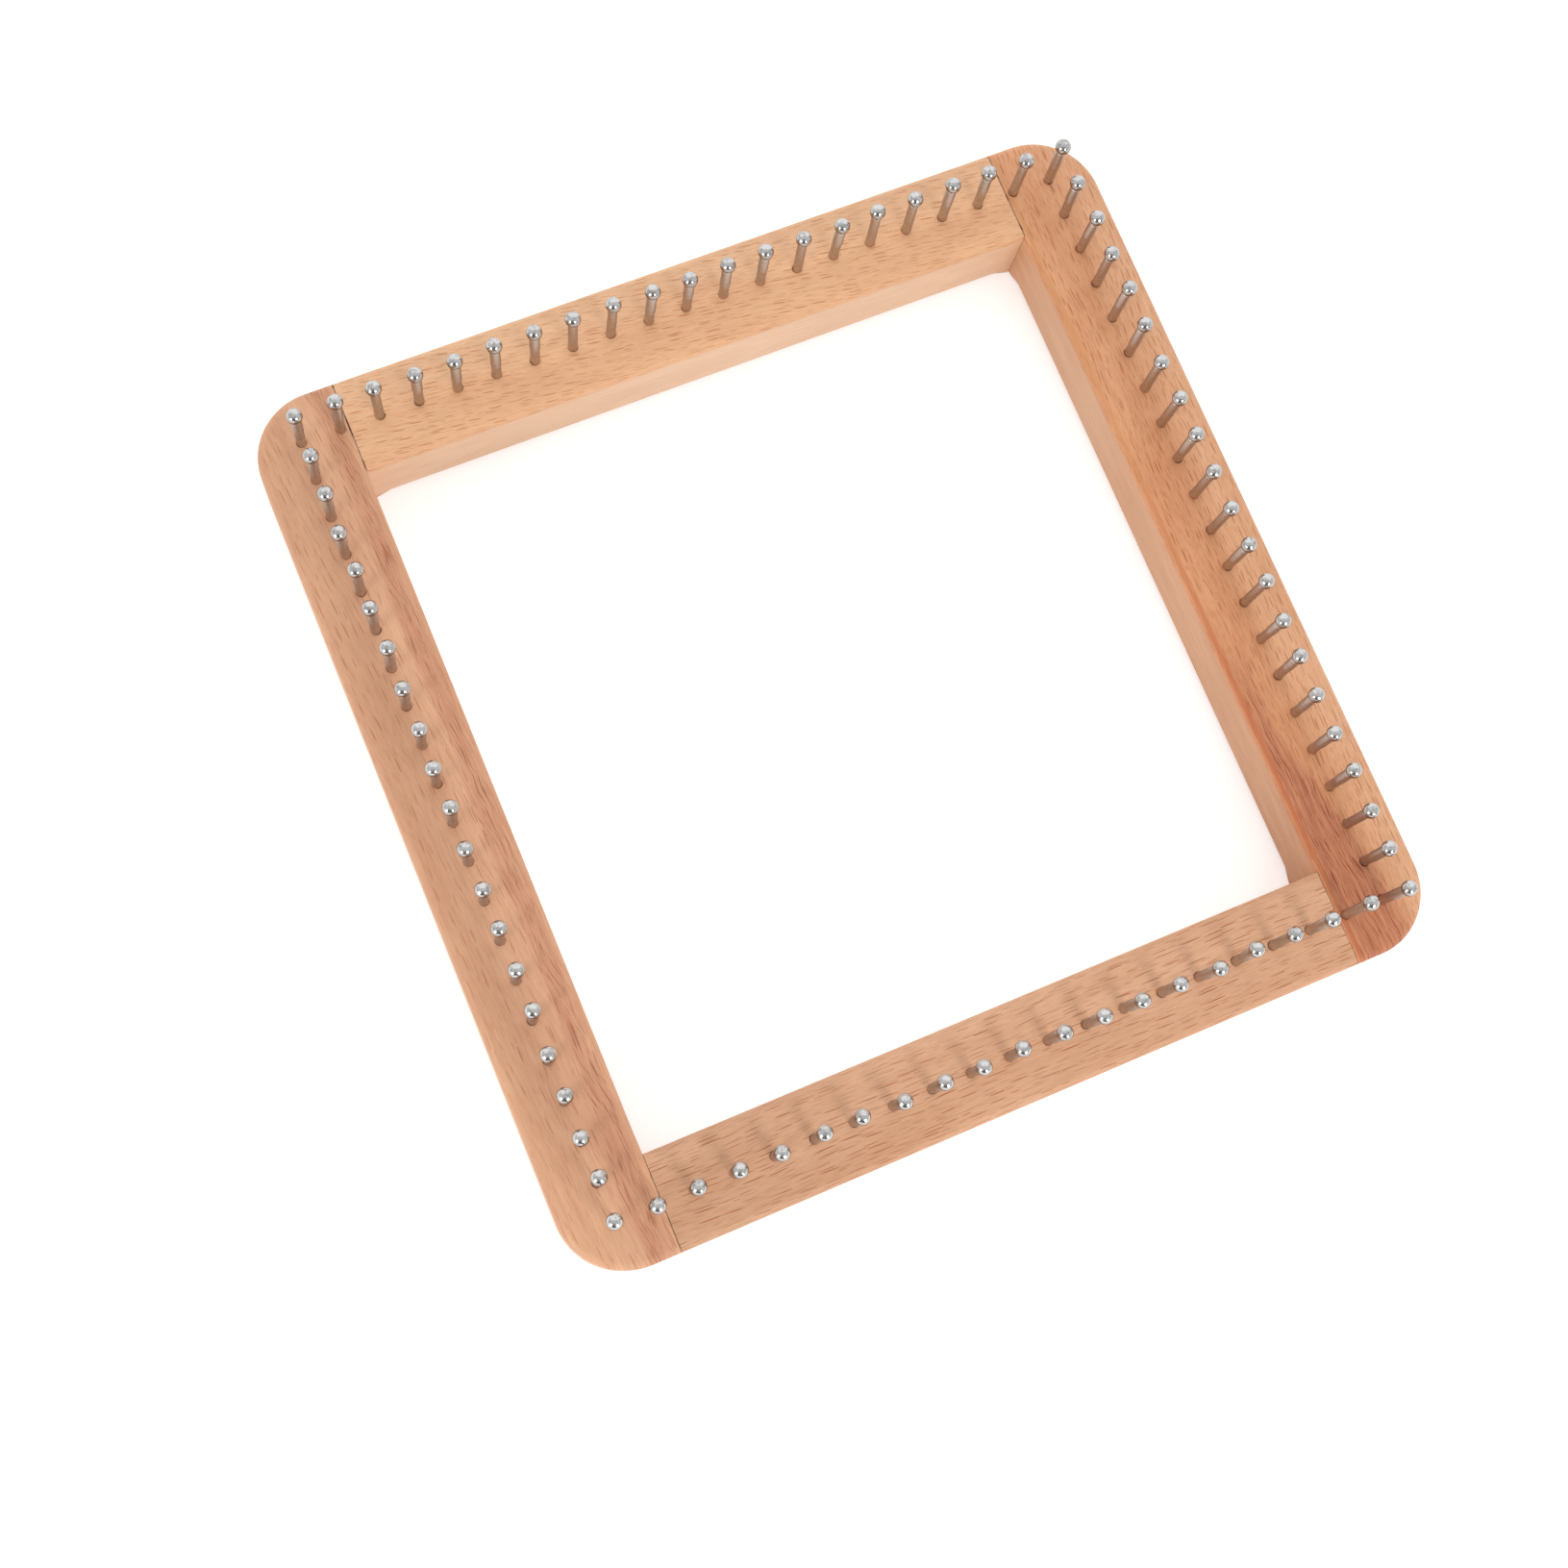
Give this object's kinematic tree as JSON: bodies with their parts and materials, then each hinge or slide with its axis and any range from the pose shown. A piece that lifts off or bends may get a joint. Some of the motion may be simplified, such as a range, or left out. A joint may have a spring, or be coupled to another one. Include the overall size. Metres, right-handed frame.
{
  "type": "knitting board",
  "caption": "Square wooden frame with rounded corners and an even row of ball-headed steel pins standing on every side, for knitting or weaving across its open window.",
  "frame": {"origin": "middle of the board on its underside", "axes": "+X along the rails, +Y along the stiles, +Z the way the pins stand"},
  "size_m": [0.224, 0.224, 0.0408],
  "materials": {
    "stile_beech": "sanded reddish beech with a thin satin oil",
    "rail_beech": "sanded pale beech with a thin satin oil",
    "dowel_beech": "raw turned beech",
    "pin_steel": "nickel-bright, lightly pitted balls and ribbed shafts"
  },
  "bodies": {
    "root": {"bottom_left_inner_dowel": "dowel_beech", "bottom_left_outer_dowel": "dowel_beech", "bottom_pins_01": "pin_steel", "bottom_pins_02": "pin_steel", "bottom_pins_03": "pin_steel", "bottom_pins_04": "pin_steel", "bottom_pins_05": "pin_steel", "bottom_pins_06": "pin_steel", "bottom_pins_07": "pin_steel", "bottom_pins_08": "pin_steel", "bottom_pins_09": "pin_steel", "bottom_rail": "rail_beech", "bottom_right_inner_dowel": "dowel_beech", "bottom_right_outer_dowel": "dowel_beech", "left_pins_01": "pin_steel", "left_pins_02": "pin_steel", "left_pins_03": "pin_steel", "left_pins_04": "pin_steel", "left_pins_05": "pin_steel", "left_pins_06": "pin_steel", "left_pins_07": "pin_steel", "left_pins_08": "pin_steel", "left_pins_09": "pin_steel", "left_pins_10": "pin_steel", "left_pins_11": "pin_steel", "left_pins_12": "pin_steel", "left_stile": "stile_beech", "right_pins_01": "pin_steel", "right_pins_02": "pin_steel", "right_pins_03": "pin_steel", "right_pins_04": "pin_steel", "right_pins_05": "pin_steel", "right_pins_06": "pin_steel", "right_pins_07": "pin_steel", "right_pins_08": "pin_steel", "right_pins_09": "pin_steel", "right_pins_10": "pin_steel", "right_pins_11": "pin_steel", "right_pins_12": "pin_steel", "right_stile": "stile_beech", "top_left_inner_dowel": "dowel_beech", "top_left_outer_dowel": "dowel_beech", "top_pins_01": "pin_steel", "top_pins_02": "pin_steel", "top_pins_03": "pin_steel", "top_pins_04": "pin_steel", "top_pins_05": "pin_steel", "top_pins_06": "pin_steel", "top_pins_07": "pin_steel", "top_pins_08": "pin_steel", "top_pins_09": "pin_steel", "top_rail": "rail_beech", "top_right_inner_dowel": "dowel_beech", "top_right_outer_dowel": "dowel_beech"}
  },
  "joints": []
}
